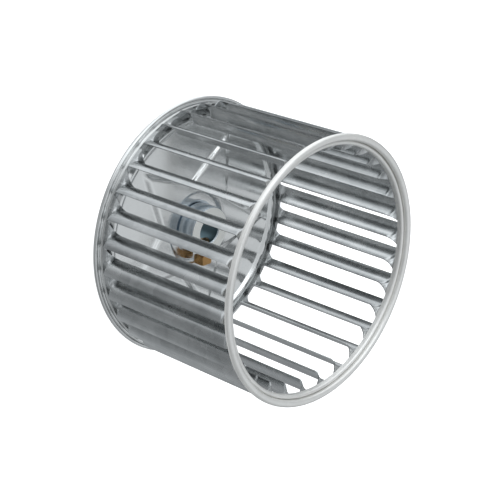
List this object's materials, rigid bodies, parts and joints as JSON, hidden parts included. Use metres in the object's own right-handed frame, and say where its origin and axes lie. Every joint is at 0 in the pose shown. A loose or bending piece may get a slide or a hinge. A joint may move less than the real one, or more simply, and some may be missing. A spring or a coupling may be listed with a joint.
{
  "type": "blower wheel",
  "caption": "Single-inlet blower wheel: a ring of forward-curved sheet blades between a rolled inlet ring and a star-embossed back plate with a bored hub.",
  "frame": {"origin": "centre of the wheel's rear rim, on the plane it stands on", "axes": "+Z along the shaft from the back plate to the open inlet; the blades' outer edges lead towards counter-clockwise seen from +Z; the azimuths are those of the picture, with +X towards the top of the picture"},
  "size_m": [0.1334, 0.1334, 0.0889],
  "materials": {
    "strip_sheet": "galvanised, semi-gloss",
    "plate_sheet": "galvanised, glossy",
    "ring_sheet": "galvanised, satin",
    "hub_zinc": "turned, clear zinc plate",
    "screw_brass": "brass-coloured"
  },
  "bodies": {
    "root": {"blade_strip": "strip_sheet", "back_plate": "plate_sheet", "front_ring": "ring_sheet", "hub": "hub_zinc", "set_screw": "screw_brass"}
  },
  "joints": []
}
